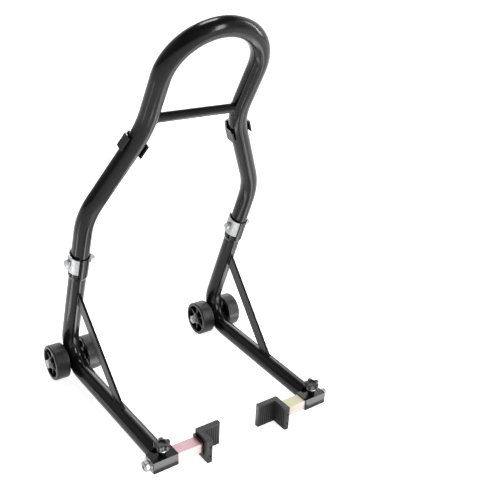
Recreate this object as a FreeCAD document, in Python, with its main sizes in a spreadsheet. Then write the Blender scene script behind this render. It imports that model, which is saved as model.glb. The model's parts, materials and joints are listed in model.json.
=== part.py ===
import FreeCAD, Part
import math
import os
import Sketcher
from FreeCAD import Placement, Rotation, Vector

# Rear paddock stand for a motorcycle, in millimetres.
# +Z is up and Z = 0 is the floor. -Y is the side of the lifting pads, +Y the side of the wheels.
# X = 0 is the middle plane, and the origin is the middle of the floor area that the stand covers.

DIMENSIONS = [
    # main tubes
    ("tube_diameter", 35.0),
    ("tube_wall", 2.0),
    ("arm_height", 26.0),
    ("arm_front_x", 171.0),
    ("corner_x", 177.0),
    ("corner_y", 208.0),
    ("corner_radius", 55.0),
    ("knee_x", 183.6),
    ("knee_y", 68.6),
    ("knee_height", 397.5),
    ("knee_radius", 150.0),
    ("neck_x", 95.0),
    ("neck_y", 5.7),
    ("neck_height", 565.0),
    ("neck_radius", 150.0),
    ("hoop_lean", 29.5),
    ("hoop_rise", 113.5),
    # bolted joint between the hoop tube and each leg tube, as lengths from the lower corner
    ("joint_start", 252.0),
    ("joint_centre", 286.0),
    ("joint_end", 303.0),
    ("joint_fit", 0.1),
    ("flare_length", 6.0),
    ("flare_inner_shift", 2.0),
    ("hoop_end_shift", 4.0),
    ("joint_slit_width", 2.0),
    ("joint_slit_count", 8.0),
    ("saddle_height", 38.0),
    ("saddle_gap", 0.15),
    ("saddle_sheet", 2.5),
    ("saddle_half_angle", 64.0),
    ("joint_bolt_diameter", 8.0),
    ("joint_bolt_hex", 13.0),
    ("joint_bolt_head", 5.3),
    ("joint_nut_height", 6.5),
    ("joint_thread_end", 3.0),
    ("joint_washer_diameter", 16.0),
    ("joint_washer_thickness", 1.6),
    # cross bar, braces and neck brackets
    ("bar_diameter", 18.0),
    ("bar_wall", 1.5),
    ("bar_rise", 23.5),
    ("bar_end_inset", 6.0),
    ("brace_width", 24.0),
    ("brace_thickness", 5.0),
    ("brace_top_share", 0.51),
    ("brace_foot_y", -45.0),
    ("bracket_drop", 36.5),
    ("bracket_length", 27.0),
    ("bracket_sheet", 3.0),
    ("bracket_width", 45.0),
    ("bracket_front", 10.0),
    ("bracket_shoulder", 10.0),
    ("bracket_shoulder_inside", 9.0),
    ("bracket_back", 27.0),
    ("bracket_back_width", 20.0),
    ("bracket_back_width_inside", 17.0),
    ("bracket_web", 10.0),
    # wheels and axles
    ("axle_y", 179.5),
    ("wheel_diameter", 75.0),
    ("wheel_width", 29.5),
    ("wheel_offset", 20.4),
    ("wheel_rim_inside", 61.0),
    ("wheel_hub_diameter", 26.0),
    ("wheel_hub_width", 25.6),
    ("wheel_web", 3.0),
    ("wheel_spoke_width", 4.0),
    ("wheel_spoke_depth", 22.0),
    ("wheel_spoke_count", 6.0),
    ("wheel_edge_radius", 2.5),
    ("bush_diameter", 15.0),
    ("bush_fit", 0.06),
    ("sleeve_diameter", 16.0),
    ("sleeve_length", 40.0),
    ("spacer_diameter", 15.0),
    ("axle_diameter", 10.0),
    ("axle_hex", 17.0),
    ("axle_head_height", 6.4),
    ("axle_nut_height", 8.0),
    ("axle_thread_end", 3.0),
    ("axle_washer_diameter", 20.0),
    ("axle_washer_thickness", 2.0),
    ("axle_play", 0.3),
    # adapter sockets and adapters
    ("socket_length", 50.0),
    ("socket_depth", 30.0),
    ("socket_height", 24.0),
    ("socket_wall", 2.0),
    ("socket_y", -187.0),
    ("socket_z", 24.0),
    ("slide_gap", 0.3),
    ("adapter_wall", 2.0),
    ("pad_plate_sheet", 3.0),
    ("pad_plate_width", 34.0),
    ("pad_plate_height", 34.0),
    ("pad_plate_round", 6.0),
    ("plug_thickness", 6.0),
    ("stop_bolt_diameter", 8.0),
    ("stop_bolt_length", 16.5),
    ("stop_head_diameter", 19.0),
    ("stop_head_height", 8.0),
    ("stop_head_round", 3.0),
    ("stop_head_socket", 6.0),
    ("stop_head_socket_depth", 4.0),
    ("stop_washer_diameter", 22.5),
    ("stop_washer_thickness", 2.0),
    ("lock_washer_diameter", 15.0),
    ("lock_washer_thickness", 2.5),
    # rubber pads
    ("pad_outer_x", 94.0),
    ("pad_span", 50.0),
    ("pad_reach", 46.0),
    ("pad_thickness", 11.0),
    ("pad_height", 48.0),
    ("pad_edge_radius", 3.0),
    ("pad_groove_width", 2.4),
    ("pad_groove_depth", 1.2),
    ("pad_groove_count", 7.0),
    ("pad_side_groove_count", 5.0),
    ("pad_groove_pitch", 4.8),
    ("pad_groove_side", 6.0),
    ("pad_groove_end", 4.0),
    ("pad_hole_diameter", 4.0),
    ("pad_hole_depth", 8.0),
    ("pad_hole_spacing", 20.0),
    # clamping knobs
    ("stud_diameter", 8.0),
    ("knob_nut_hex", 13.0),
    ("knob_nut_height", 6.5),
    ("knob_washer_diameter", 18.0),
    ("knob_washer_thickness", 1.6),
    ("knob_base_height", 52.5),
    ("knob_core_diameter", 22.0),
    ("knob_lobe_diameter", 9.5),
    ("knob_lobe_circle", 21.5),
    ("knob_lobe_count", 5.0),
    ("knob_height", 9.0),
    ("knob_edge_radius", 1.5),
    ("knob_boss_diameter", 15.0),
    ("knob_boss_height", 5.0),
    ("knob_recess_diameter", 14.0),
    ("knob_recess_depth", 2.5),
    ("knob_bore_depth", 4.5),
]

SIDES = (("left", -1.0), ("right", 1.0))
ALONG_X = Rotation(Vector(0, 0, 1), Vector(1, 0, 0))
ALONG_MINUS_X = Rotation(Vector(0, 0, 1), Vector(-1, 0, 0))

# small clearances that every fastener shares
HOLE_PLAY = 0.25
WASHER_PLAY = 0.2
THREAD_PLAY = 0.02
FACE_GAP = 0.02
OVERCUT = 1.0
STUD_GAP = 0.05

doc = FreeCAD.newDocument("paddock_stand")
sheet = doc.addObject("Spreadsheet::Sheet", "Sheet")
for row, (alias, value) in enumerate(DIMENSIONS, start=1):
    sheet.set("A%d" % row, alias)
    sheet.set("B%d" % row, str(value))
    sheet.setAlias("B%d" % row, alias)
doc.recompute()


class Size:
    """A length from the sheet: its value now and the expression that keeps it bound."""

    def __init__(self, value, text):
        self.value = value
        self.text = text

    def combine(self, other, sign, result):
        text = other.text if isinstance(other, Size) else repr(float(other))
        return Size(result, "(%s %s %s)" % (self.text, sign, text))

    def __add__(self, other):
        return self.combine(other, "+", self.value + float(other))

    def __sub__(self, other):
        return self.combine(other, "-", self.value - float(other))

    def __mul__(self, other):
        return self.combine(other, "*", self.value * float(other))

    def __truediv__(self, other):
        return self.combine(other, "/", self.value / float(other))

    def __neg__(self):
        return Size(-self.value, "(0 - %s)" % self.text)

    def __float__(self):
        return self.value


def size(alias):
    return Size(float(sheet.get(alias)), "Sheet." + alias)


def number(alias):
    return float(sheet.get(alias))


def whole(alias):
    return int(round(number(alias)))


def bind(obj, **properties):
    """Set each property from a Size and keep it bound to the sheet."""
    for name, value in properties.items():
        if isinstance(value, Size):
            obj.setExpression(name, value.text)
        else:
            setattr(obj, name, value)
    return obj


# ---- primitives -------------------------------------------------------------

def cylinder(name, radius, height, placement=Placement()):
    obj = bind(doc.addObject("Part::Cylinder", name), Radius=radius, Height=height)
    obj.Placement = placement
    return obj


def cone(name, radius_start, radius_end, height, placement=Placement()):
    obj = bind(doc.addObject("Part::Cone", name), Radius1=radius_start, Radius2=radius_end, Height=height)
    obj.Placement = placement
    return obj


def box(name, length, width, height, placement=Placement()):
    obj = bind(doc.addObject("Part::Box", name), Length=length, Width=width, Height=height)
    obj.Placement = placement
    return obj


def prism(name, across_flats, height, placement=Placement()):
    obj = bind(doc.addObject("Part::Prism", name), Circumradius=across_flats / math.sqrt(3.0), Height=height)
    obj.Polygon = 6
    obj.Placement = placement
    return obj


def fuse(name, parts):
    obj = doc.addObject("Part::MultiFuse", name)
    obj.Shapes = parts
    return obj


def cut(name, base, tool):
    obj = doc.addObject("Part::Cut", name)
    obj.Base = base
    obj.Tool = tool
    return obj


def group(name, parts):
    obj = doc.addObject("Part::Compound", name)
    obj.Links = parts
    return obj


def ring(name, outer_radius, inner_radius, height, placement):
    outer = cylinder(name + "_outer", outer_radius, height)
    inner = cylinder(name + "_inner", inner_radius, height)
    obj = cut(name, outer, inner)
    obj.Placement = placement
    return obj


def hex_bolt(name, diameter, hex_size, head_height, length, placement):
    """A bolt along its own +Z: the head is below Z = 0, and the shank runs up from there."""
    head = prism(name + "_head", hex_size, head_height,
                 Placement(Vector(0, 0, -float(head_height)), Rotation()))
    shank = cylinder(name + "_shank", diameter / 2, length)
    obj = fuse(name, [head, shank])
    obj.Placement = placement
    return obj


def hex_nut(name, hex_size, bore, height, placement):
    """A nut from Z = 0 up, with its bore at the thread's diameter plus the play of the thread."""
    body = prism(name + "_hex", hex_size, height)
    hole = cylinder(name + "_bore", bore / 2, height)
    obj = cut(name, body, hole)
    obj.Placement = placement
    return obj


def domed_bolt(name, diameter, length, placement):
    """A bolt like hex_bolt, with a round head that has a rounded edge and a hexagon socket."""
    height = size("stop_head_height")
    head = cylinder(name + "_head", size("stop_head_diameter") / 2, height,
                    Placement(Vector(0, 0, -float(height)), Rotation()))
    dome = round_edges(name + "_dome", head, number("stop_head_round"),
                       lambda edge: edge.BoundBox.ZMax < FACE_GAP - float(height))
    socket = prism(name + "_socket", size("stop_head_socket"), size("stop_head_socket_depth"),
                   Placement(Vector(0, 0, -float(height)), Rotation()))
    shank = cylinder(name + "_shank", diameter / 2, length)
    obj = fuse(name, [cut(name + "_cap", dome, socket), shank])
    obj.Placement = placement
    return obj


def round_edges(name, base, radius, wanted):
    """Round the edges of a solid that the test picks."""
    doc.recompute()
    obj = doc.addObject("Part::Fillet", name)
    obj.Base = base
    obj.Edges = [(index, radius, radius)
                 for index, edge in enumerate(base.Shape.Edges, start=1) if wanted(edge)]
    return obj


# ---- sketches and bodies ----------------------------------------------------

def new_body(name):
    return doc.addObject("PartDesign::Body", name)


def plane_of(body, role):
    for feature in body.Origin.OriginFeatures:
        if feature.Role == role:
            return feature
    raise ValueError(role)


def sketch_on(body, role, name, offset=None):
    """A sketch on a plane of the body's origin, or at an offset from it along its normal."""
    sketch = body.newObject("Sketcher::SketchObject", name)
    sketch.AttachmentSupport = [(plane_of(body, role), "")]
    sketch.MapMode = "FlatFace"
    if offset is not None:
        sketch.AttachmentOffset = Placement(Vector(0, 0, float(offset)), Rotation())
        sketch.setExpression("AttachmentOffset.Base.z", offset.text)
    return sketch


def pin_point(sketch, geometry, end, point):
    """Hold one point of the sketch at its two sizes, measured from the sketch's origin."""
    axes = (("DistanceX", -2), ("DistanceY", -1))
    for (kind, axis), value in zip(axes, point):
        if abs(float(value)) < 1e-9:
            sketch.addConstraint(Sketcher.Constraint("PointOnObject", geometry, end, axis))
            continue
        index = sketch.addConstraint(Sketcher.Constraint(kind, -1, 1, geometry, end, float(value)))
        if isinstance(value, Size):
            sketch.setExpression("Constraints[%d]" % index, value.text)


def outline(sketch, points):
    """A closed outline of straight lines through points given as pairs of sizes."""
    places = [Vector(float(across), float(up), 0) for across, up in points]
    first = sketch.GeometryCount
    for start, end in zip(places, places[1:] + places[:1]):
        sketch.addGeometry(Part.LineSegment(start, end), False)
    count = len(points)
    for step in range(count):
        following = first + (step + 1) % count
        sketch.addConstraint(Sketcher.Constraint("Coincident", first + step, 2, following, 1))
    for step, point in enumerate(points):
        pin_point(sketch, first + step, 1, point)


def rectangle(sketch, left, bottom, right, top):
    outline(sketch, [(left, bottom), (right, bottom), (right, top), (left, top)])


def circle(sketch, centre, diameter):
    place = Vector(float(centre[0]), float(centre[1]), 0)
    index = sketch.addGeometry(Part.Circle(place, Vector(0, 0, 1), float(diameter) / 2), False)
    pin_point(sketch, index, 3, centre)
    held = sketch.addConstraint(Sketcher.Constraint("Diameter", index, float(diameter)))
    sketch.setExpression("Constraints[%d]" % held, diameter.text)


def pad(body, sketch, length, both_ways=False, reversed_way=False, name="Pad"):
    feature = body.newObject("PartDesign::Pad", name)
    feature.Profile = sketch
    feature.Midplane = both_ways
    feature.Reversed = reversed_way
    return bind(feature, Length=length)


def pocket(body, sketch, length, reversed_way, both_ways=False, name="Pocket"):
    """A pocket that has to take material away."""
    doc.recompute()
    before = body.Shape.Volume
    feature = body.newObject("PartDesign::Pocket", name)
    feature.Profile = sketch
    feature.Midplane = both_ways
    feature.Reversed = reversed_way
    bind(feature, Length=length)
    doc.recompute()
    if body.Shape.Volume > before - 1.0:
        raise RuntimeError("pocket %s of %s cuts nothing" % (name, body.Name))
    return feature


def polar(body, feature, axis, count):
    pattern = body.newObject("PartDesign::PolarPattern", "PolarPattern")
    pattern.Originals = [feature]
    pattern.Axis = (plane_of(body, axis), [""])
    pattern.Angle = 360.0
    pattern.Occurrences = count
    body.Tip = pattern
    return pattern


def edge_fillet(body, base, radius, wanted):
    """Round the edges of the last feature that the test picks."""
    doc.recompute()
    names = ["Edge%d" % (i + 1) for i, edge in enumerate(base.Shape.Edges) if wanted(edge)]
    feature = body.newObject("PartDesign::Fillet", "Fillet")
    feature.Base = (base, names)
    return bind(feature, Radius=radius)


# ---- tube paths -------------------------------------------------------------

def rounded_path(points, radii):
    """Straight runs through the points, joined by tangent arcs of the given radii."""
    edges = []
    start = points[0]
    for before, corner, after, radius in zip(points, points[1:], points[2:], radii):
        back = (before - corner).normalize()
        ahead = (after - corner).normalize()
        half_angle = back.getAngle(ahead) / 2
        reach = radius / math.tan(half_angle)
        bisector = (back + ahead).normalize()
        middle = corner + bisector * (radius / math.sin(half_angle) - radius)
        arc_start = corner + back * reach
        arc_end = corner + ahead * reach
        edges.append(Part.LineSegment(start, arc_start).toShape())
        edges.append(Part.Arc(arc_start, middle, arc_end).toShape())
        start = arc_end
    edges.append(Part.LineSegment(start, points[-1]).toShape())
    return edges


def sweep(name, edges, radius):
    """A round bar along the path, as a sweep of a circle whose radius is bound to the sheet."""
    path = doc.addObject("Part::Feature", name + "_path")
    path.Shape = Part.Wire(edges)
    start = edges[0].valueAt(edges[0].FirstParameter)
    direction = edges[0].tangentAt(edges[0].FirstParameter)
    section = bind(doc.addObject("Part::Circle", name + "_section"), Radius=radius)
    section.Placement = Placement(start, Rotation(Vector(0, 0, 1), direction))
    obj = doc.addObject("Part::Sweep", name)
    obj.Sections = [section]
    obj.Spine = (path, ["Edge%d" % (i + 1) for i in range(len(edges))])
    obj.Solid = True
    obj.Frenet = False
    return obj


def frame_on(axis_start, axis_end, length, roll_towards=Vector(1, 0, 0)):
    """The placement at a length along a tube: +Z along the tube and +X towards the given direction."""
    along = (axis_end - axis_start).normalize()
    across = (roll_towards - along * roll_towards.dot(along)).normalize()
    return Placement(axis_start + along * length, Rotation(across, along.cross(across), along, "ZXY"))


# Named points of the tube's centre line, for the right side with side = 1.
def arm_front(side):
    return Vector(side * number("arm_front_x"), number("socket_y") + number("socket_depth") / 2,
                  number("arm_height"))


def corner(side):
    return Vector(side * number("corner_x"), number("corner_y"), number("arm_height"))


def knee(side):
    return Vector(side * number("knee_x"), number("knee_y"), number("knee_height"))


def neck(side):
    return Vector(side * number("neck_x"), number("neck_y"), number("neck_height"))


def hoop_direction():
    lean = math.radians(number("hoop_lean"))
    return Vector(0, -math.sin(lean), math.cos(lean))


def joint_frame(side, alias):
    return frame_on(corner(side), knee(side), number(alias))


def axle_place(side, offset, rotation=ALONG_X):
    middle = Vector(side * number("corner_x") + offset, number("axle_y"), number("wheel_diameter") / 2)
    return Placement(middle, rotation)


nodes = []


def node(obj, label):
    obj.Label = label
    nodes.append(obj)
    return obj


# ---- welded frame -----------------------------------------------------------

tube_radius = size("tube_diameter") / 2
bore_radius = tube_radius - size("tube_wall")
joint_bore = tube_radius + size("joint_fit")
joint_outside = joint_bore + size("tube_wall")
saddle_inside = joint_outside + size("saddle_gap")
bolt_hole_radius = size("joint_bolt_diameter") / 2 + HOLE_PLAY
HOLE_REACH = 60.0
SLIT_START = 12.0
SLIT_OVERRUN = 5.0
TRIM = 1.0
TRIM_BOX = 60.0


def joint_bolt_hole(name, side):
    """The hole across the joint for its bolt."""
    place = joint_frame(side, "joint_centre")
    across = Placement(Vector(-HOLE_REACH / 2, 0, 0), ALONG_X)
    return cylinder(name, bolt_hole_radius, HOLE_REACH, place.multiply(across))


def hoop_path():
    runs = []
    middle = (neck(1) + neck(-1)) / 2 + hoop_direction() * number("hoop_rise")
    for side in (-1, 1):
        end_at = number("joint_start") + number("hoop_end_shift")
        lower_end = frame_on(corner(side), knee(side), end_at).Base
        hoop_side = neck(side) + hoop_direction() * number("hoop_rise")
        radii = (number("knee_radius"), number("neck_radius"))
        runs.append(rounded_path([lower_end, knee(side), neck(side), hoop_side], radii))
    top = middle + hoop_direction() * number("neck_x")
    ends = [middle + Vector(side * number("neck_x"), 0, 0) for side in (-1, 1)]
    return runs[0] + [Part.Arc(ends[0], top, ends[1]).toShape()] + runs[1][::-1]


def make_hoop_tube():
    outer = sweep("hoop_outer", hoop_path(), tube_radius)
    inner = sweep("hoop_inner", hoop_path(), bore_radius)
    tube = cut("hoop_hollow", outer, inner)
    holes = fuse("hoop_holes", [joint_bolt_hole("hoop_hole_" + word, side) for word, side in SIDES])
    node(cut("hoop_tube_solid", tube, holes), "hoop_tube")
    return outer


def leg_solid(name, side, straight_radius, joint_radius, flare_start):
    """The outer or inner form of a leg: bent round bar, flare and wider joint end."""
    # the bar starts a little in front of the arm's end, which is then trimmed square
    start = arm_front(side) + (arm_front(side) - corner(side)).normalize() * TRIM
    flare_foot = frame_on(corner(side), knee(side), float(flare_start))
    edges = rounded_path([start, corner(side), flare_foot.Base], [number("corner_radius")])
    bar = sweep(name + "_bar", edges, straight_radius)
    flare_length = size("flare_length")
    flare = cone(name + "_flare", straight_radius, joint_radius, flare_length, flare_foot)
    top_start = flare_start + flare_length
    top_place = frame_on(corner(side), knee(side), float(top_start))
    top = cylinder(name + "_top", joint_radius, size("joint_end") - top_start, top_place)
    return fuse(name, [bar, flare, top])


def leg_slits(word, side):
    """The slits of a joint's end, each with a round relief hole at its lower end."""
    slit_start = size("joint_start") + size("hoop_end_shift")
    slit_length = size("joint_end") - slit_start + SLIT_OVERRUN
    base = frame_on(corner(side), knee(side), float(slit_start))
    width = size("joint_slit_width")
    count = whole("joint_slit_count")
    tools = []
    for step in range(count):
        # the slits stand half a pitch off the bolt, so that the bolt goes through whole fingers
        turn = Rotation(Vector(0, 0, 1), 360.0 * (step + 0.5) / count)
        place = base.multiply(Placement(Vector(), turn))
        low = place.multiply(Placement(Vector(SLIT_START, -float(width) / 2, 0), Rotation()))
        tools.append(box("slit_%s_%d" % (word, step), SLIT_START, width, slit_length, low))
        tools.append(cylinder("relief_%s_%d" % (word, step), width, SLIT_START,
                              place.multiply(Placement(Vector(SLIT_START, 0, 0), ALONG_X))))
    return tools


def make_leg_tube(word, side):
    outer_start = size("joint_start") - size("flare_length")
    outer = leg_solid("leg_outer_" + word, side, tube_radius, joint_outside, outer_start)
    inner = leg_solid("leg_inner_" + word, side, bore_radius, joint_bore,
                      outer_start + size("flare_inner_shift"))
    hollow = cut("leg_hollow_" + word, outer, inner)
    front = arm_front(side)
    trim_low = front - Vector(TRIM_BOX / 2, TRIM_BOX, TRIM_BOX / 2)
    tools = [joint_bolt_hole("leg_hole_" + word, side)] + leg_slits(word, side)
    tools.append(box("leg_trim_" + word, TRIM_BOX, TRIM_BOX, TRIM_BOX, Placement(trim_low, Rotation())))
    tools.append(cylinder("sleeve_space_" + word, size("sleeve_diameter") / 2, size("sleeve_length"),
                          axle_place(side, -number("sleeve_length") / 2)))
    node(cut("leg_tube_solid_" + word, hollow, fuse("leg_tools_" + word, tools)), "leg_tube_" + word)
    return outer


def make_cross_bar(hoop_outer):
    height = neck(1) + hoop_direction() * number("bar_rise")
    half = number("neck_x") - number("bar_end_inset")
    place = Placement(Vector(-half, height.y, height.z), ALONG_X)
    bar = ring("bar_tube", size("bar_diameter") / 2, size("bar_diameter") / 2 - size("bar_wall"),
               (size("neck_x") - size("bar_end_inset")) * 2, place)
    node(cut("cross_bar_solid", bar, hoop_outer), "cross_bar")


def make_brace(word, side, leg_outer):
    """A flat strip set on edge, coped onto the leg tube at both ends."""
    top = corner(side) + (knee(side) - corner(side)) * number("brace_top_share")
    share = (number("corner_y") - number("brace_foot_y")) / (number("corner_y") - arm_front(side).y)
    foot = corner(side) + (arm_front(side) - corner(side)) * share
    place = frame_on(foot, top, 0.0)
    strip = box("brace_strip_" + word, size("brace_thickness"), size("brace_width"), (top - foot).Length)
    centred = Vector(-number("brace_thickness") / 2, -number("brace_width") / 2, 0)
    strip.Placement = place.multiply(Placement(centred, Rotation()))
    node(cut("brace_solid_" + word, strip, leg_outer), "brace_" + word)


def make_axle_sleeve(word, side):
    place = axle_place(side, -number("sleeve_length") / 2)
    sleeve = ring("sleeve_ring_" + word, size("sleeve_diameter") / 2, size("axle_diameter") / 2 + WASHER_PLAY,
                  size("sleeve_length"), place)
    node(sleeve, "axle_sleeve_" + word)


def make_neck_bracket(word, side, hoop_outer):
    """A folded channel of sheet steel round the back of the tube, welded to it by a narrow web."""
    length = size("bracket_length")
    place = frame_on(neck(side), knee(side), number("bracket_drop") - float(length) / 2)
    back = place.inverse().Rotation.multVec(Vector(0, 1, 0))
    turn = Rotation(Vector(0, 0, 1), math.degrees(math.atan2(back.y, back.x)) - 90.0)
    place = place.multiply(Placement(Vector(), turn))
    half = size("bracket_width") / 2
    half_inside = half - size("bracket_sheet")
    back_half = size("bracket_back_width") / 2
    back_half_inside = size("bracket_back_width_inside") / 2
    back_inside = size("bracket_back") - size("bracket_sheet")
    shoulder_inside = size("bracket_shoulder_inside")
    front = -size("bracket_front")
    channel = new_body("channel_" + word)
    section = sketch_on(channel, "XY_Plane", "section")
    outline(section, [
        (-half, front), (-half, size("bracket_shoulder")), (-back_half, size("bracket_back")),
        (back_half, size("bracket_back")), (half, size("bracket_shoulder")), (half, front),
        (half_inside, front), (half_inside, shoulder_inside), (back_half_inside, back_inside),
        (-back_half_inside, back_inside), (-half_inside, shoulder_inside), (-half_inside, front)])
    pad(channel, section, length, name="Channel")
    channel.Placement = place
    web_at = place.multiply(Placement(Vector(-number("bracket_web") / 2, 0, 0), Rotation()))
    web_depth = back_inside + size("bracket_sheet") / 2
    web = box("bracket_web_" + word, size("bracket_web"), web_depth, length, web_at)
    seat = cut("bracket_seat_" + word, web, hoop_outer)
    node(fuse("bracket_solid_" + word, [channel, seat]), "neck_bracket_" + word)


def make_socket(word, side):
    """The rectangular sleeve at the front of each arm, with a hole for the clamping stud."""
    body = new_body("socket_" + word)
    section = sketch_on(body, "YZ_Plane", "section")
    half_depth = size("socket_depth") / 2
    half_height = size("socket_height") / 2
    wall = size("socket_wall")
    rectangle(section, -half_depth, -half_height, half_depth, half_height)
    rectangle(section, wall - half_depth, wall - half_height, half_depth - wall, half_height - wall)
    pad(body, section, size("socket_length"), both_ways=True, name="Sleeve")
    hole = sketch_on(body, "XY_Plane", "stud_hole")
    circle(hole, (0, 0), size("stud_diameter") + HOLE_PLAY * 2)
    pocket(body, hole, size("socket_height"), reversed_way=True, name="StudHole")
    body.Placement = socket_place(side)
    node(body, "adapter_socket_" + word)


def socket_place(side):
    return Placement(Vector(side * number("arm_front_x"), number("socket_y"), number("socket_z")), Rotation())


# ---- bolted joints ----------------------------------------------------------

def make_saddle(word, side):
    """A plated half shell that spreads the pull of the joint's bolt over the slit tube end."""
    place = joint_frame(side, "joint_centre")
    low = place.multiply(Placement(Vector(0, 0, -number("saddle_height") / 2), Rotation()))
    half_angle = number("saddle_half_angle")
    saddle_outside = saddle_inside + size("saddle_sheet")
    shell_outer = cylinder("saddle_outer_" + word, saddle_outside, size("saddle_height"))
    shell_outer.setExpression("Angle", "Sheet.saddle_half_angle * 2")
    shell_inner = cylinder("saddle_inner_" + word, saddle_inside, size("saddle_height"))
    shell = cut("saddle_shell_" + word, shell_outer, shell_inner)
    shell.Placement = low.multiply(Placement(Vector(), Rotation(Vector(0, 0, 1), 180.0 - half_angle)))
    hole = joint_bolt_hole("saddle_hole_" + word, side)
    node(cut("saddle_solid_" + word, shell, hole), "joint_saddle_" + word)


def make_joint_fasteners():
    """The bolts, washers and nuts of both joints. The heads are on the saddles."""
    washer = size("joint_washer_thickness")
    head_face = -(saddle_inside + size("saddle_sheet") + washer + FACE_GAP * 2)
    nut_face = joint_outside + washer + FACE_GAP * 2
    bolt_length = nut_face - head_face + size("joint_nut_height") + size("joint_thread_end")
    bolts = []
    washers = []
    nuts = []
    diameter = size("joint_bolt_diameter")
    hex_size = size("joint_bolt_hex")
    for word, side in SIDES:
        middle = joint_frame(side, "joint_centre")
        places = [middle.multiply(Placement(Vector(float(offset), 0, 0), ALONG_X))
                  for offset in (head_face, head_face + FACE_GAP, joint_outside + FACE_GAP, nut_face)]
        bolts.append(hex_bolt("joint_bolt_" + word, diameter, hex_size, size("joint_bolt_head"), bolt_length,
                              places[0]))
        for spot, place in (("head", places[1]), ("nut", places[2])):
            washers.append(ring("joint_washer_%s_%s" % (spot, word), size("joint_washer_diameter") / 2,
                                diameter / 2 + WASHER_PLAY, washer, place))
        nuts.append(hex_nut("joint_nut_" + word, hex_size, diameter + THREAD_PLAY * 2,
                            size("joint_nut_height"), places[3]))
    node(group("joint_bolt_group", bolts), "joint_bolts")
    node(group("joint_washer_group", washers), "joint_washers")
    node(group("joint_nut_group", nuts), "joint_nuts")


# ---- wheels -----------------------------------------------------------------

def make_wheel(label, side, offset_sign):
    """A moulded wheel with a deep rim, a thin web and spokes on both faces, turning on a bush."""
    body = new_body("body_" + label)
    section = sketch_on(body, "XY_Plane", "section")
    half_width = size("wheel_width") / 2
    half_hub = size("wheel_hub_width") / 2
    half_web = size("wheel_web") / 2
    rim_inside = size("wheel_rim_inside") / 2
    rim_outside = size("wheel_diameter") / 2
    hub_outside = size("wheel_hub_diameter") / 2
    bore = size("bush_diameter") / 2
    outline(section, [
        (-half_hub, bore), (half_hub, bore), (half_hub, hub_outside), (half_web, hub_outside),
        (half_web, rim_inside), (half_width, rim_inside), (half_width, rim_outside),
        (-half_width, rim_outside), (-half_width, rim_inside), (-half_web, rim_inside),
        (-half_web, hub_outside), (-half_hub, hub_outside)])
    turned = body.newObject("PartDesign::Revolution", "Turned")
    turned.Profile = section
    turned.ReferenceAxis = (section, ["H_Axis"])
    turned.Angle = 360.0
    outer_edge = float(rim_outside)

    def is_rim_edge(edge):
        box_of = edge.BoundBox
        return abs(box_of.ZMax - outer_edge) < 0.01 and box_of.XLength < 0.01
    rounded = edge_fillet(body, turned, size("wheel_edge_radius"), is_rim_edge)
    body.Tip = rounded
    spoke = sketch_on(body, "YZ_Plane", "spoke")
    half_spoke = size("wheel_spoke_width") / 2
    rectangle(spoke, -half_spoke, hub_outside - 1.0, half_spoke, rim_inside + 1.0)
    spoke_pad = pad(body, spoke, size("wheel_spoke_depth"), both_ways=True, name="Spoke")
    polar(body, spoke_pad, "X_Axis", whole("wheel_spoke_count"))
    centre = offset_sign * (number("wheel_offset") + number("wheel_width") / 2)
    body.Placement = axle_place(side, centre, Rotation())
    node(body, label)
    return centre


def make_bush(label, side, centre):
    """The plain bush pressed into a wheel's hub, which runs on the axle bolt."""
    length = size("wheel_hub_width")
    place = axle_place(side, centre - float(length) / 2)
    node(ring("bush_" + label, size("bush_diameter") / 2, size("axle_diameter") / 2 + size("bush_fit"),
              length, place), label)


def make_axle_fasteners(centre):
    """The two axle bolts with their spacers, washers and nuts. The heads are on the outer wheels."""
    bolts = []
    washers = []
    nuts = []
    spacers = []
    play = number("axle_play")
    hub_outer = centre + number("wheel_hub_width") / 2
    hub_inner = centre - number("wheel_hub_width") / 2
    washer_face = hub_outer + play
    head_face = washer_face + number("axle_washer_thickness")
    diameter = size("axle_diameter")
    sleeve_face = number("sleeve_length") / 2
    for word, side in SIDES:
        inwards = ALONG_MINUS_X if side > 0 else ALONG_X
        outwards = ALONG_X if side > 0 else ALONG_MINUS_X
        bolt_length = 2 * head_face + number("axle_nut_height") + number("axle_thread_end")
        bolts.append(hex_bolt("axle_bolt_" + word, diameter, size("axle_hex"), size("axle_head_height"),
                              bolt_length, axle_place(side, side * head_face, inwards)))
        nuts.append(hex_nut("axle_nut_" + word, size("axle_hex"), diameter + THREAD_PLAY * 2,
                            size("axle_nut_height"), axle_place(side, -side * head_face, inwards)))
        for spot, rotation, sign in (("outer", outwards, side), ("inner", inwards, -side)):
            washers.append(ring("axle_washer_%s_%s" % (spot, word), size("axle_washer_diameter") / 2,
                                diameter / 2 + WASHER_PLAY, size("axle_washer_thickness") - FACE_GAP,
                                axle_place(side, sign * washer_face, rotation)))
            gap = hub_inner - sleeve_face - play
            spacers.append(ring("axle_spacer_%s_%s" % (spot, word), size("spacer_diameter") / 2,
                                diameter / 2 + WASHER_PLAY, gap,
                                axle_place(side, sign * sleeve_face, rotation)))
    node(group("axle_bolt_group", bolts), "axle_bolts")
    node(group("axle_washer_group", washers), "axle_washers")
    node(group("axle_spacer_group", spacers), "axle_spacers")
    node(group("axle_nut_group", nuts), "axle_nuts")


# ---- sliding adapters and pads ----------------------------------------------

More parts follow.
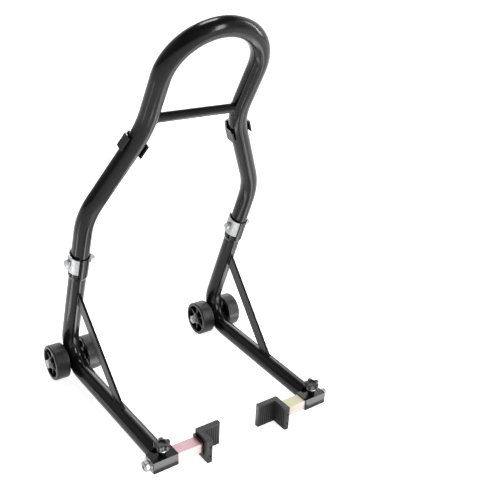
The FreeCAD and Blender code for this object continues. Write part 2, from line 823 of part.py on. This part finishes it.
def make_adapter(word, side):
    """The rectangular tube that slides in the socket and carries the pad."""
    body = new_body("adapter_" + word)
    section = sketch_on(body, "YZ_Plane", "section")
    inset = size("socket_wall") + size("slide_gap")
    half_depth = size("socket_depth") / 2 - inset
    half_height = size("socket_height") / 2 - inset
    wall = size("adapter_wall")
    rectangle(section, -half_depth, -half_height, half_depth, half_height)
    rectangle(section, wall - half_depth, wall - half_height, half_depth - wall, half_height - wall)
    inner_end = number("pad_outer_x") + number("pad_plate_sheet")
    outer_end = number("arm_front_x") + number("socket_length") / 2 + number("slide_gap")
    length = (size("arm_front_x") + size("socket_length") / 2 + size("slide_gap")
              - size("pad_outer_x") - size("pad_plate_sheet"))
    pad(body, section, length, both_ways=True, name="Tube")
    middle = Vector(side * (inner_end + outer_end) / 2, number("socket_y"), number("socket_z"))
    body.Placement = Placement(middle, Rotation())
    node(body, "adapter_tube_" + word)


def make_adapter_plug(word, side):
    """The threaded block welded into the adapter's outer end for the stop bolt."""
    inset = size("socket_wall") + size("slide_gap") + size("adapter_wall")
    depth = size("socket_depth") - inset * 2
    height = size("socket_height") - inset * 2
    outer_end = number("arm_front_x") + number("socket_length") / 2 + number("slide_gap")
    thickness = number("plug_thickness")
    low_x = outer_end - thickness if side > 0 else -outer_end
    corner_at = Vector(low_x, number("socket_y") - float(depth) / 2, number("socket_z") - float(height) / 2)
    block = box("plug_block_" + word, size("plug_thickness"), depth, height, Placement(corner_at, Rotation()))
    bore_at = Vector(low_x, number("socket_y"), number("socket_z"))
    bore = cylinder("plug_bore_" + word, size("stop_bolt_diameter") / 2 + THREAD_PLAY, size("plug_thickness"),
                    Placement(bore_at, ALONG_X))
    node(cut("plug_solid_" + word, block, bore), "adapter_plug_" + word)


def make_stop(word, side):
    """The stop washer, lock washer and bolt, which keep the adapter from sliding out of the socket."""
    outwards = ALONG_X if side > 0 else ALONG_MINUS_X
    inwards = ALONG_MINUS_X if side > 0 else ALONG_X
    reach = number("arm_front_x") + number("socket_length") / 2 + number("slide_gap")
    bore = size("stop_bolt_diameter") / 2 + WASHER_PLAY
    for label, alias in (("stop_washer_", "stop_washer"), ("lock_washer_", "lock_washer")):
        thickness = size(alias + "_thickness")
        place = Placement(Vector(side * reach, number("socket_y"), number("socket_z")), outwards)
        washer = ring(label + "ring_" + word, size(alias + "_diameter") / 2, bore, thickness, place)
        node(washer, label + word)
        reach += float(thickness) + FACE_GAP
    head_at = Placement(Vector(side * reach, number("socket_y"), number("socket_z")), inwards)
    bolt = domed_bolt("stop_bolt_solid_" + word, size("stop_bolt_diameter"), size("stop_bolt_length"),
                      head_at)
    node(bolt, "stop_bolt_" + word)


def make_pad_plate(word, side):
    """The steel plate welded across the adapter's inner end, which the rubber pad is bonded to."""
    inner = number("pad_outer_x")
    low_x = inner if side > 0 else -inner - number("pad_plate_sheet")
    low = Vector(low_x, number("socket_y") - number("pad_plate_width") / 2,
                 number("socket_z") - number("pad_plate_height") / 2)
    plate = box("plate_box_" + word, size("pad_plate_sheet"), size("pad_plate_width"),
                size("pad_plate_height"), Placement(low, Rotation()))
    most = number("pad_plate_sheet") - FACE_GAP
    rounded = round_edges("plate_round_" + word, plate, number("pad_plate_round"),
                          lambda edge: edge.BoundBox.XLength > most)
    node(rounded, "pad_plate_" + word)


def cut_grooves(body, name, corners, axis, count):
    """A row of equal upright grooves: the first one's corners, then steps along an axis of the body."""
    groove = sketch_on(body, "XY_Plane", name + "_sketch")
    rectangle(groove, *corners)
    length = size("pad_height") - size("pad_groove_end") * 2
    cutter = pocket(body, groove, length, reversed_way=False, both_ways=True, name=name)
    pattern = body.newObject("PartDesign::LinearPattern", name + "_row")
    pattern.Originals = [cutter]
    pattern.Direction = (plane_of(body, axis), [""])
    pattern.Occurrences = count
    bind(pattern, Length=size("pad_groove_pitch") * (count - 1))
    body.Tip = pattern


def make_rubber_pad(word, side):
    """An L-shaped rubber block: a plate across the stand and one along it, both grooved inside the L."""
    body = new_body("rubber_" + word)
    span = size("pad_span")
    reach = size("pad_reach")
    thick = size("pad_thickness")
    height = size("pad_height")
    section = sketch_on(body, "XY_Plane", "section")
    # the L's outer corner is the sketch's origin, its plates run to -X and to -Y
    outline(section, [(0, 0), (-span, 0), (-span, -thick), (-thick, -thick), (-thick, -reach), (0, -reach)])
    block = pad(body, section, height, both_ways=True, name="Block")
    half_height = float(height) / 2

    def is_plain_edge(edge):
        box_of = edge.BoundBox
        at_inner_corner = abs(box_of.XMax + float(thick)) < 0.01 and abs(box_of.YMax + float(thick)) < 0.01
        return box_of.ZLength > half_height and not at_inner_corner
    rounded = edge_fillet(body, block, size("pad_edge_radius"), is_plain_edge)
    body.Tip = rounded
    half_groove = size("pad_groove_width") / 2
    opened = -(thick + OVERCUT)
    bottom = size("pad_groove_depth") - thick
    across = span - size("pad_groove_side")
    cut_grooves(body, "CrossGroove", (-(across + half_groove), opened, half_groove - across, bottom),
                "X_Axis", whole("pad_groove_count"))
    along = reach - size("pad_groove_side")
    cut_grooves(body, "SideGroove", (opened, -(along + half_groove), bottom, half_groove - along),
                "Y_Axis", whole("pad_side_groove_count"))
    holes = sketch_on(body, "XZ_Plane", "holes", offset=reach)
    for way in (1, -1):
        circle(holes, (-thick / 2, size("pad_hole_spacing") * (way / 2)), size("pad_hole_diameter"))
    pocket(body, holes, size("pad_hole_depth"), reversed_way=False, name="EdgeHoles")
    place = Vector(side * number("pad_outer_x"), pad_front() + float(reach), number("socket_z"))
    flip = Rotation() if side > 0 else Rotation(Vector(0, 1, 0), 180.0)
    body.Placement = Placement(place, flip)
    node(body, "rubber_pad_" + word)


def pad_front():
    """The stand reaches as far forward of the origin as its wheels reach behind it."""
    return -(number("axle_y") + number("wheel_diameter") / 2)


# ---- clamping knobs ---------------------------------------------------------

def upright_at(side, level):
    """A level on the upright axis of a clamping knob."""
    return Placement(Vector(side * number("arm_front_x"), number("socket_y"), level), Rotation())


def make_knob_set(word, side):
    socket_top = number("socket_z") + number("socket_height") / 2
    adapter_top = socket_top - number("socket_wall") - number("slide_gap")
    base = number("knob_base_height")
    nut = hex_nut("knob_nut_solid_" + word, size("knob_nut_hex"), size("stud_diameter") + WASHER_PLAY / 2,
                  size("knob_nut_height"), upright_at(side, socket_top))
    node(nut, "knob_nut_" + word)
    washer_low = base - number("knob_boss_height") - number("knob_washer_thickness") - FACE_GAP
    washer = ring("knob_washer_ring_" + word, size("knob_washer_diameter") / 2,
                  size("stud_diameter") / 2 + WASHER_PLAY / 2, size("knob_washer_thickness"),
                  upright_at(side, washer_low))
    node(washer, "knob_washer_" + word)
    stud_low = adapter_top + STUD_GAP
    stud_length = size("knob_base_height") + size("knob_bore_depth") - stud_low
    stud = cylinder("stud_solid_" + word, size("stud_diameter") / 2, stud_length, upright_at(side, stud_low))
    node(stud, "knob_stud_" + word)
    make_knob(word, upright_at(side, base))


def make_knob(word, place):
    """A star knob with a boss below, a round recess on top and a blind bore for the stud."""
    body = new_body("knob_" + word)
    core = sketch_on(body, "XY_Plane", "core")
    circle(core, (0, 0), size("knob_core_diameter"))
    pad(body, core, size("knob_height"), name="Core")
    boss = sketch_on(body, "XY_Plane", "boss")
    circle(boss, (0, 0), size("knob_boss_diameter"))
    pad(body, boss, size("knob_boss_height"), reversed_way=True, name="Boss")
    lobe = sketch_on(body, "XY_Plane", "lobe")
    circle(lobe, (size("knob_lobe_circle") / 2, 0), size("knob_lobe_diameter"))
    lobe_pad = pad(body, lobe, size("knob_height"), name="Lobe")
    star = polar(body, lobe_pad, "Z_Axis", whole("knob_lobe_count"))
    top = number("knob_height")
    rounded = edge_fillet(body, star, size("knob_edge_radius"),
                          lambda edge: edge.BoundBox.ZMin > top - FACE_GAP)
    body.Tip = rounded
    recess = sketch_on(body, "XY_Plane", "recess", offset=size("knob_height"))
    circle(recess, (0, 0), size("knob_recess_diameter"))
    pocket(body, recess, size("knob_recess_depth"), reversed_way=False, name="Recess")
    bore = sketch_on(body, "XY_Plane", "bore", offset=-size("knob_boss_height"))
    circle(bore, (0, 0), size("stud_diameter"))
    pocket(body, bore, size("knob_boss_height") + size("knob_bore_depth"), reversed_way=True, name="Bore")
    body.Placement = place
    node(body, "star_knob_" + word)


# ---- the whole stand --------------------------------------------------------

hoop = make_hoop_tube()
make_cross_bar(hoop)
for word, side in SIDES:
    leg = make_leg_tube(word, side)
    make_brace(word, side, leg)
    make_axle_sleeve(word, side)
    make_neck_bracket(word, side, hoop)
    make_socket(word, side)
    make_saddle(word, side)
make_joint_fasteners()
for word, side in SIDES:
    for spot, sign in (("outer", side), ("inner", -side)):
        wheel_centre = make_wheel("wheel_%s_%s" % (word, spot), side, sign)
        make_bush("wheel_bush_%s_%s" % (word, spot), side, wheel_centre)
make_axle_fasteners(number("wheel_offset") + number("wheel_width") / 2)
for word, side in SIDES:
    make_adapter(word, side)
    make_adapter_plug(word, side)
    make_stop(word, side)
    make_pad_plate(word, side)
    make_rubber_pad(word, side)
    make_knob_set(word, side)

doc.recompute()
for obj in doc.Objects:
    if "Invalid" in obj.State or "Error" in obj.State:
        raise RuntimeError("%s failed: %s" % (obj.Name, obj.State))
os.makedirs("parts", exist_ok=True)
for obj in nodes:
    shape = obj.Shape
    if shape.isNull() or not shape.isValid() or not shape.Solids:
        raise RuntimeError("%s has no valid solid" % obj.Label)
for obj in nodes:
    obj.Shape.exportStep(os.path.join("parts", obj.Label + ".step"))
    box_of = obj.Shape.BoundBox
    print("%-24s solids %d volume %9.0f  x %7.1f %7.1f  y %7.1f %7.1f  z %7.1f %7.1f" % (
        obj.Label, len(obj.Shape.Solids), obj.Shape.Volume, box_of.XMin, box_of.XMax,
        box_of.YMin, box_of.YMax, box_of.ZMin, box_of.ZMax))
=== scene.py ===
import json
import math

import bpy
from mathutils import Matrix, Quaternion, Vector


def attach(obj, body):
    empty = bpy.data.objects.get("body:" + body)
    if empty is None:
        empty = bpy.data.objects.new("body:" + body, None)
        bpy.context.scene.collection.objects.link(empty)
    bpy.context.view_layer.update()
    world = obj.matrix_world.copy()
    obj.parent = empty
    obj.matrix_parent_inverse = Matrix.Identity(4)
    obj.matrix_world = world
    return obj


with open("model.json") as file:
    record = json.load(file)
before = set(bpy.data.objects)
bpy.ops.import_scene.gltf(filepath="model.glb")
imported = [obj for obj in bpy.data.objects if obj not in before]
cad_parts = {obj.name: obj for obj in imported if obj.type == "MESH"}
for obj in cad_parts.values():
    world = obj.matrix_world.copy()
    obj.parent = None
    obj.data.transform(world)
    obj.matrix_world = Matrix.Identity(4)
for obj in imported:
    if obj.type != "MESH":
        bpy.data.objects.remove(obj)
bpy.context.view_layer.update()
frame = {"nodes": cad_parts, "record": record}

# Each side's name and the sign of its X.
SIDES = (("left", -1), ("right", 1))
RIGHT = Vector((1, 0, 0))
DOWN = Vector((0, 0, -1))

# The stand's own dimensions, in metres. The points are for the right side.
CORNER = Vector((0.177, 0.208, 0.026))
KNEE = Vector((0.1836, 0.0686, 0.3975))
NECK = Vector((0.095, 0.0057, 0.565))
ARM_FRONT = Vector((0.171, -0.172, 0.026))
HOOP_LEAN = math.radians(29.5)
BAR_RISE = 0.0235
BAR_RADIUS = 0.009
BRACE_WIDTH = 0.024
BRACE_THICKNESS = 0.005
BRACE_TOP_SHARE = 0.51
BRACE_FOOT_Y = -0.045
AXLE_Y = 0.1795
AXLE_Z = 0.0375
SLEEVE_RADIUS = 0.008
# PAD_FACE_Y and GROOVE_START place the painted shade on the floors of the pads' grooves.
PAD_FACE_Y = -0.182
GROOVE_START = 0.0006

# The weld beads' radii, their ripples, and how far out a sleeve's outline starts.
BRACE_WELD = 0.0016
BAR_WELD = 0.0018
SLEEVE_WELD = 0.0016
BEAD_SIDES = 8
RIPPLE_DEPTH = 0.14
RIPPLE_TURN = 2.2
SLEEVE_REACH = 0.03

# The studio, in metres, with the strength of each glow.
FLOOR_REACH = 30.0
FLOOR_GLOW = 0.86
WALL_REACH = 29.0
WALL_TOP = 30.0
WALL_SIDES = 32
WALL_GLOW = 1.0
STRIP_LEVEL = 0.003
WORLD_GLOW = 2.6


# ---- materials --------------------------------------------------------------

class Nodes:
    """A node tree built from plain calls. Its patterns lie in one kind of texture coordinates."""

    def __init__(self, tree, coordinates):
        self.tree = tree
        self.place = tree.nodes.new("ShaderNodeTexCoord").outputs[coordinates]

    def feed(self, socket, value):
        """Set a socket to a plain value or to another node's output."""
        if isinstance(value, bpy.types.NodeSocket):
            self.tree.links.new(value, socket)
        else:
            socket.default_value = value

    def noise(self, scale, detail=3.0, roughness=0.5, place=None):
        node = self.tree.nodes.new("ShaderNodeTexNoise")
        self.feed(node.inputs["Vector"], place or self.place)
        node.inputs["Scale"].default_value = scale
        node.inputs["Detail"].default_value = detail
        node.inputs["Roughness"].default_value = roughness
        return node.outputs["Fac"]

    def stretch(self, x, y, z):
        """The coordinates, scaled on each axis."""
        node = self.tree.nodes.new("ShaderNodeMapping")
        self.feed(node.inputs["Vector"], self.place)
        node.inputs["Scale"].default_value = (x, y, z)
        return node.outputs["Vector"]

    def bands(self, scale, axis):
        node = self.tree.nodes.new("ShaderNodeTexWave")
        self.feed(node.inputs["Vector"], self.place)
        node.wave_type = "BANDS"
        node.bands_direction = axis
        node.inputs["Scale"].default_value = scale
        return node.outputs["Fac"]

    def ramp(self, factor, *stops):
        """Map a factor through stops of (position, grey level or colour)."""
        node = self.tree.nodes.new("ShaderNodeValToRGB")
        self.feed(node.inputs["Fac"], factor)
        elements = node.color_ramp.elements
        while len(elements) < len(stops):
            elements.new(0.5)
        for element, (position, value) in zip(elements, stops):
            colour = value if isinstance(value, tuple) else (value, value, value)
            element.position = position
            element.color = (*colour, 1.0)
        return node.outputs["Color"]

    def math(self, operation, first, second):
        node = self.tree.nodes.new("ShaderNodeMath")
        node.operation = operation
        self.feed(node.inputs[0], first)
        self.feed(node.inputs[1], second)
        return node.outputs["Value"]

    def mix(self, factor, first, second):
        node = self.tree.nodes.new("ShaderNodeMix")
        node.data_type = "RGBA"
        self.feed(node.inputs["Factor"], factor)
        self.feed(node.inputs["A"], first)
        self.feed(node.inputs["B"], second)
        return node.outputs["Result"]

    def coordinate(self, axis, vector=None):
        node = self.tree.nodes.new("ShaderNodeSeparateXYZ")
        self.feed(node.inputs["Vector"], vector or self.place)
        return node.outputs[axis]

    def normal(self):
        return self.tree.nodes.new("ShaderNodeNewGeometry").outputs["Normal"]

    def bump(self, height, strength, distance, under=None):
        node = self.tree.nodes.new("ShaderNodeBump")
        self.feed(node.inputs["Height"], height)
        node.inputs["Strength"].default_value = strength
        node.inputs["Distance"].default_value = distance
        if under is not None:
            self.feed(node.inputs["Normal"], under)
        return node.outputs["Normal"]


class Shader(Nodes):
    """A material with one Principled shader, whose patterns lie in the object's coordinates."""

    def __init__(self, name):
        self.material = bpy.data.materials.new(name)
        self.material.use_nodes = True
        super().__init__(self.material.node_tree, "Object")
        self.surface = self.tree.nodes["Principled BSDF"]

    def set(self, **values):
        for key, value in values.items():
            self.feed(self.surface.inputs[key.replace("_", " ")], value)


def black_paint():
    """Black powder coat: soft gloss, fine orange peel, slight mottling and a few dust specks."""
    s = Shader("black_powder_coat")
    mottle = s.ramp(s.noise(18.0, 4.0), (0.35, (0.0035, 0.0035, 0.0038)), (0.68, (0.0065, 0.0065, 0.0068)))
    specks = s.ramp(s.noise(900.0, 1.0), (0.76, 0.0), (0.80, 1.0))
    peel = s.noise(420.0, 2.0)
    s.set(Base_Color=s.mix(specks, mottle, (0.03, 0.03, 0.03, 1.0)),
          Specular_IOR_Level=0.2,
          Roughness=s.ramp(s.noise(55.0, 5.0, 0.6), (0.3, 0.13), (0.7, 0.21)),
          Normal=s.bump(peel, 0.16, 0.0003))
    return s.material


def zinc_plate():
    """Bright zinc plating: cool grey metal with cloudy patches and fine handling marks."""
    s = Shader("bright_zinc")
    clouds = s.noise(160.0, 5.0, 0.65)
    marks = s.noise(700.0, 4.0, 0.7, s.stretch(0.3, 1.0, 2.0))
    s.set(Base_Color=s.ramp(clouds, (0.25, (0.24, 0.25, 0.26)), (0.75, (0.42, 0.43, 0.43))),
          Metallic=0.9,
          Roughness=s.ramp(marks, (0.3, 0.38), (0.75, 0.58)),
          Normal=s.bump(marks, 0.25, 0.00015))
    return s.material


def yellow_zinc():
    """Yellow chromated zinc: pink and cream to one side, green and straw yellow to the other. Faces that
    point up take a darker copy of the colour: painted shade.
    """
    s = Shader("yellow_chromate")
    patches = s.noise(38.0, 3.0, 0.55, s.stretch(1.0, 1.0, 1.6))
    drift = s.math("MULTIPLY", s.math("SUBTRACT", patches, 0.5), 0.16)
    along = s.math("ADD", s.coordinate("X"), drift)
    place = s.math("ADD", s.math("MULTIPLY", along, 2.5), 0.5)
    # Two copies of one colour. The top ramp is painted shade for faces that point up; the front ramp is the
    # lit colour of faces to the front.
    top = s.ramp(place, (0.05, (0.50, 0.29, 0.32)), (0.28, (0.60, 0.38, 0.41)), (0.60, (0.54, 0.49, 0.32)),
                 (0.80, (0.42, 0.43, 0.25)), (0.95, (0.50, 0.37, 0.35)))
    front = s.ramp(place, (0.05, (0.54, 0.37, 0.37)), (0.28, (0.64, 0.50, 0.48)), (0.70, (0.52, 0.49, 0.37)),
                   (0.84, (0.50, 0.42, 0.38)), (0.95, (0.52, 0.36, 0.38)))
    # Painted shade mask: how far a face points up, read from the surface normal.
    painted_top_shade = s.ramp(s.coordinate("Z", s.normal()), (0.3, 0.0), (0.7, 1.0))
    scratches = s.noise(260.0, 5.0, 0.7, s.stretch(0.12, 1.0, 1.0))
    s.set(Base_Color=s.mix(painted_top_shade, front, top), Metallic=0.2,
          Roughness=s.ramp(scratches, (0.3, 0.28), (0.75, 0.46)),
          Normal=s.bump(scratches, 0.2, 0.00015))
    return s.material


def black_rubber():
    """Matte rubber, scuffed on its faces. The floors of the front face's grooves are painted near black:
    painted shade in the recesses.
    """
    s = Shader("moulded_rubber")
    grain = s.noise(1500.0, 3.0, 0.7)
    scuffs = s.noise(90.0, 6.0, 0.7)
    wiped = s.ramp(scuffs, (0.35, (0.005, 0.005, 0.005)), (0.75, (0.013, 0.013, 0.013)))
    # Painted shade: faces that point to the front and lie behind the front face (the groove floors) are made
    # near black.
    groove_shade_depth = s.math("GREATER_THAN", s.coordinate("Y"), PAD_FACE_Y + GROOVE_START)
    forward = s.math("LESS_THAN", s.coordinate("Y", s.normal()), -0.5)
    s.set(Base_Color=s.mix(s.math("MULTIPLY", groove_shade_depth, forward), wiped, (0.002, 0.002, 0.002, 1.0)),
          Roughness=s.ramp(scuffs, (0.3, 0.48), (0.75, 0.66)),
          Normal=s.bump(grain, 0.35, 0.0002))
    return s.material


def black_plastic():
    """Moulded nylon with fine tool lines that run round the tread."""
    s = Shader("moulded_nylon")
    cloud = s.noise(60.0, 5.0, 0.6)
    grain = s.noise(1100.0, 2.0)
    lines = s.bump(s.bands(110.0, "X"), 0.5, 0.0006)
    s.set(Base_Color=s.ramp(cloud, (0.3, (0.004, 0.004, 0.004)), (0.75, (0.010, 0.010, 0.010))),
          Specular_IOR_Level=0.35,
          Roughness=s.ramp(cloud, (0.3, 0.30), (0.75, 0.44)),
          Normal=s.bump(grain, 0.25, 0.0002, lines))
    return s.material


def bush_nylon():
    """Uncoloured nylon, for the bushes in the wheels."""
    s = Shader("natural_nylon")
    grain = s.noise(500.0, 3.0)
    s.set(Base_Color=s.ramp(grain, (0.3, (0.60, 0.58, 0.52)), (0.7, (0.72, 0.70, 0.64))),
          Roughness=s.ramp(grain, (0.3, 0.42), (0.7, 0.55)),
          Normal=s.bump(grain, 0.2, 0.0002))
    return s.material


def studio_floor():
    """A pale floor lit from below, like a table for product pictures."""
    s = Shader("studio_floor")
    grain = s.noise(3.0, 6.0, 0.6)
    s.set(Base_Color=s.ramp(grain, (0.3, (0.66, 0.66, 0.66)), (0.7, (0.70, 0.70, 0.70))),
          Roughness=s.ramp(grain, (0.3, 0.75), (0.7, 0.9)),
          Emission_Color=s.ramp(grain, (0.3, (0.98, 0.98, 0.98)), (0.7, (1.0, 1.0, 1.0))),
          Emission_Strength=FLOOR_GLOW,
          Normal=s.bump(s.noise(220.0, 2.0), 0.05, 0.0005))
    return s.material


def studio_wall():
    """A pale wall that glows evenly."""
    s = Shader("studio_wall")
    grain = s.noise(0.2, 2.0)
    s.set(Base_Color=s.ramp(grain, (0.3, (0.02, 0.02, 0.02)), (0.7, (0.03, 0.03, 0.03))),
          Roughness=0.9,
          Emission_Color=s.ramp(grain, (0.3, (0.97, 0.97, 0.97)), (0.7, (1.0, 1.0, 1.0))),
          Emission_Strength=WALL_GLOW)
    return s.material


MATERIALS = {
    "black_paint": black_paint(),
    "zinc_plate": zinc_plate(),
    "yellow_zinc": yellow_zinc(),
    "black_rubber": black_rubber(),
    "black_plastic": black_plastic(),
    "bush_nylon": bush_nylon(),
}
for part in frame["record"]["subparts"]:
    for held in frame["nodes"][part["node"]].material_slots:
        held.material = MATERIALS[part["material_slot"]]


# ---- weld beads -------------------------------------------------------------

def on_side(point, side):
    return Vector((side * point.x, point.y, point.z))


def circle_outline(centre, axis, radius, count=48):
    across = axis.orthogonal().normalized()
    up = axis.normalized().cross(across)
    turns = [2 * math.pi * step / count for step in range(count)]
    return [centre + (across * math.cos(turn) + up * math.sin(turn)) * radius for turn in turns]


def box_outline(centre, across, up, per_side=14):
    """Points round a rectangle whose half sides are the vectors across and up."""
    corners = [centre + across + up, centre - across + up, centre - across - up, centre + across - up]
    points = []
    for start, end in zip(corners, corners[1:] + corners[:1]):
        points += [start.lerp(end, step / per_side) for step in range(per_side)]
    return points


def cast(points, direction, node):
    """Where lines through the points, along the direction, first meet a CAD node."""
    target = frame["nodes"][node]
    hits = [target.ray_cast(point, direction) for point in points]
    return [place for found, place, normal, face in hits if found]


def bead(name, points, radius):
    """A closed weld bead through the points, with the ripples of a weld."""
    count = len(points)
    vertices = []
    for step, point in enumerate(points):
        ahead = points[(step + 1) % count] - points[step - 1]
        along = ahead.normalized()
        across = along.orthogonal().normalized()
        up = along.cross(across)
        size = radius * (1.0 + RIPPLE_DEPTH * math.sin(step * RIPPLE_TURN))
        for side in range(BEAD_SIDES):
            turn = 2 * math.pi * side / BEAD_SIDES
            vertices.append(point + (across * math.cos(turn) + up * math.sin(turn)) * size)
    faces = []
    for step in range(count):
        ring = step * BEAD_SIDES
        following = (step + 1) % count * BEAD_SIDES
        for side in range(BEAD_SIDES):
            beside = (side + 1) % BEAD_SIDES
            faces.append((ring + side, ring + beside, following + beside, following + side))
    mesh = bpy.data.meshes.new(name)
    mesh.from_pydata(vertices, [], faces)
    for face in mesh.polygons:
        face.use_smooth = True
    piece = bpy.data.objects.new(name, mesh)
    bpy.context.scene.collection.objects.link(piece)
    mesh.materials.append(MATERIALS["black_paint"])
    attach(piece, "frame")


def weld_brace(word, side):
    corner = on_side(CORNER, side)
    knee = on_side(KNEE, side)
    front = on_side(ARM_FRONT, side)
    top = corner.lerp(knee, BRACE_TOP_SHARE)
    foot = corner.lerp(front, (CORNER.y - BRACE_FOOT_Y) / (CORNER.y - ARM_FRONT.y))
    along = (top - foot).normalized()
    across = (RIGHT - along * RIGHT.dot(along)).normalized()
    up = along.cross(across)
    outline = box_outline((top + foot) / 2, across * (BRACE_THICKNESS / 2), up * (BRACE_WIDTH / 2))
    for end, direction in (("top", along), ("foot", -along)):
        bead("weld_brace_%s_%s" % (end, word), cast(outline, direction, "leg_tube_" + word), BRACE_WELD)


def weld_cross_bar():
    rise = Vector((0, -math.sin(HOOP_LEAN), math.cos(HOOP_LEAN))) * BAR_RISE
    centre = Vector((0, NECK.y, NECK.z)) + rise
    outline = circle_outline(centre, RIGHT, BAR_RADIUS)
    for word, side in SIDES:
        bead("weld_cross_bar_" + word, cast(outline, RIGHT * side, "hoop_tube"), BAR_WELD)


def weld_sleeve(word, side):
    for spot, sign in (("outer", side), ("inner", -side)):
        centre = Vector((side * CORNER.x + sign * SLEEVE_REACH, AXLE_Y, AXLE_Z))
        outline = circle_outline(centre, RIGHT, SLEEVE_RADIUS)
        ring = cast(outline, RIGHT * -sign, "leg_tube_" + word)
        bead("weld_sleeve_%s_%s" % (spot, word), ring, SLEEVE_WELD)


weld_cross_bar()
for word, side in SIDES:
    weld_brace(word, side)
    weld_sleeve(word, side)


# ---- studio -----------------------------------------------------------------

def stage_piece(name, points, faces, material):
    mesh = bpy.data.meshes.new(name)
    mesh.from_pydata(points, [], faces)
    mesh.materials.append(material)
    piece = bpy.data.objects.new(name, mesh)
    bpy.context.scene.collection.objects.link(piece)
    return piece


def make_floor():
    corners = [(x * FLOOR_REACH, y * FLOOR_REACH, 0) for x, y in ((-1, -1), (1, -1), (1, 1), (-1, 1))]
    stage_piece("studio_floor", corners, [(0, 1, 2, 3)], studio_floor())


def make_backdrop():
    """A pale wall round the floor, far from the stand. It closes low views and lights nothing."""
    turns = [2 * math.pi * step / WALL_SIDES for step in range(WALL_SIDES)]
    points = [(WALL_REACH * math.cos(turn), WALL_REACH * math.sin(turn), level)
              for level in (0.0, WALL_TOP) for turn in turns]
    faces = []
    for step in range(WALL_SIDES):
        following = (step + 1) % WALL_SIDES
        faces.append((step, following, WALL_SIDES + following, WALL_SIDES + step))
    wall = stage_piece("studio_backdrop", points, faces, studio_wall())
    wall.visible_diffuse = False
    wall.visible_glossy = False
    wall.visible_transmission = False
    wall.visible_shadow = False


def area_light(name, place, turn, width, height, power):
    data = bpy.data.lights.new(name, "AREA")
    data.shape = "RECTANGLE"
    data.size = width
    data.size_y = height
    data.energy = power
    lamp = bpy.data.objects.new(name, data)
    lamp.location = place
    lamp.rotation_mode = "QUATERNION"
    lamp.rotation_quaternion = turn
    bpy.context.scene.collection.objects.link(lamp)


def softbox(name, place, aim, width, height, power):
    """A light that hangs in the studio and faces a point."""
    turn = (Vector(aim) - Vector(place)).to_track_quat("-Z", "Y")
    area_light(name, place, turn, width, height, power)


def floor_strip(name, start, end, width, radiance):
    """A bright strip that lies on the floor and lights the stand from below."""
    start, end = Vector((*start, STRIP_LEVEL)), Vector((*end, STRIP_LEVEL))
    length = (end - start).length
    along = (end - start).normalized()
    turn = Matrix((along, DOWN.cross(along), DOWN)).transposed().to_quaternion()
    area_light(name, (start + end) / 2, turn, length, width, radiance * math.pi * length * width)


def make_world():
    """A studio that is dark overhead and to the front left, and light low down to the right and behind."""
    world = bpy.data.worlds.new("studio")
    bpy.context.scene.world = world
    world.use_nodes = True
    n = Nodes(world.node_tree, "Generated")
    height = n.ramp(n.coordinate("Z"), (0.0, 0.40), (0.25, 0.55), (0.62, 0.60), (0.78, 0.08), (1.0, 0.03))
    rightward = n.math("MULTIPLY", n.coordinate("X"), 0.35)
    backward = n.math("MULTIPLY", n.coordinate("Y"), 0.25)
    heading = n.math("ADD", rightward, backward)
    beside = n.ramp(n.math("ADD", heading, 0.5), (0.1, 0.08), (0.5, 0.40), (0.85, 1.0))
    background = n.tree.nodes["Background"]
    n.feed(background.inputs["Color"], n.math("MULTIPLY", height, beside))
    n.feed(background.inputs["Strength"], WORLD_GLOW)


def make_camera():
    data = bpy.data.cameras.new("camera")
    data.sensor_width = 36.0
    data.lens = 54.09
    data.clip_end = 200.0
    camera = bpy.data.objects.new("camera", data)
    bpy.context.scene.collection.objects.link(camera)
    heading = math.radians(37.05)
    dip = math.radians(24.945)
    roll = math.radians(3.03)
    look = Vector((math.sin(heading) * math.cos(dip), math.cos(heading) * math.cos(dip), -math.sin(dip)))
    camera.location = (-0.6932, -1.1038, 0.9276)
    camera.rotation_mode = "QUATERNION"
    camera.rotation_quaternion = look.to_track_quat("-Z", "Y") @ Quaternion((0, 0, 1), roll)
    bpy.context.scene.camera = camera


make_floor()
make_backdrop()
softbox("key", (0.7, -2.6, 1.3), (0, 0, 0.25), 0.5, 1.6, 60)
softbox("top", (0.2, 0.6, 3.0), (0, 0, 0.2), 0.9, 0.9, 48)
softbox("right", (2.0, -0.6, 1.1), (0, 0, 0.45), 0.16, 1.6, 20)
softbox("back", (1.4, 2.0, 1.3), (0, 0, 0.1), 1.3, 0.8, 16)
floor_strip("strip_middle", (-0.15, 0.12), (0.0, -0.19), 0.06, 7.0)
floor_strip("strip_left", (-0.32, 0.19), (-1.1, 0.19), 0.10, 5.0)
floor_strip("strip_right", (0.24, 0.10), (0.50, -0.44), 0.12, 5.0)
floor_strip("strip_socket_left", (-0.20, -0.25), (-0.12, -0.25), 0.06, 9.0)
floor_strip("strip_socket_right", (0.17, -0.25), (0.25, -0.25), 0.06, 7.0)
make_world()
make_camera()
bpy.context.scene.view_settings.view_transform = "Standard"
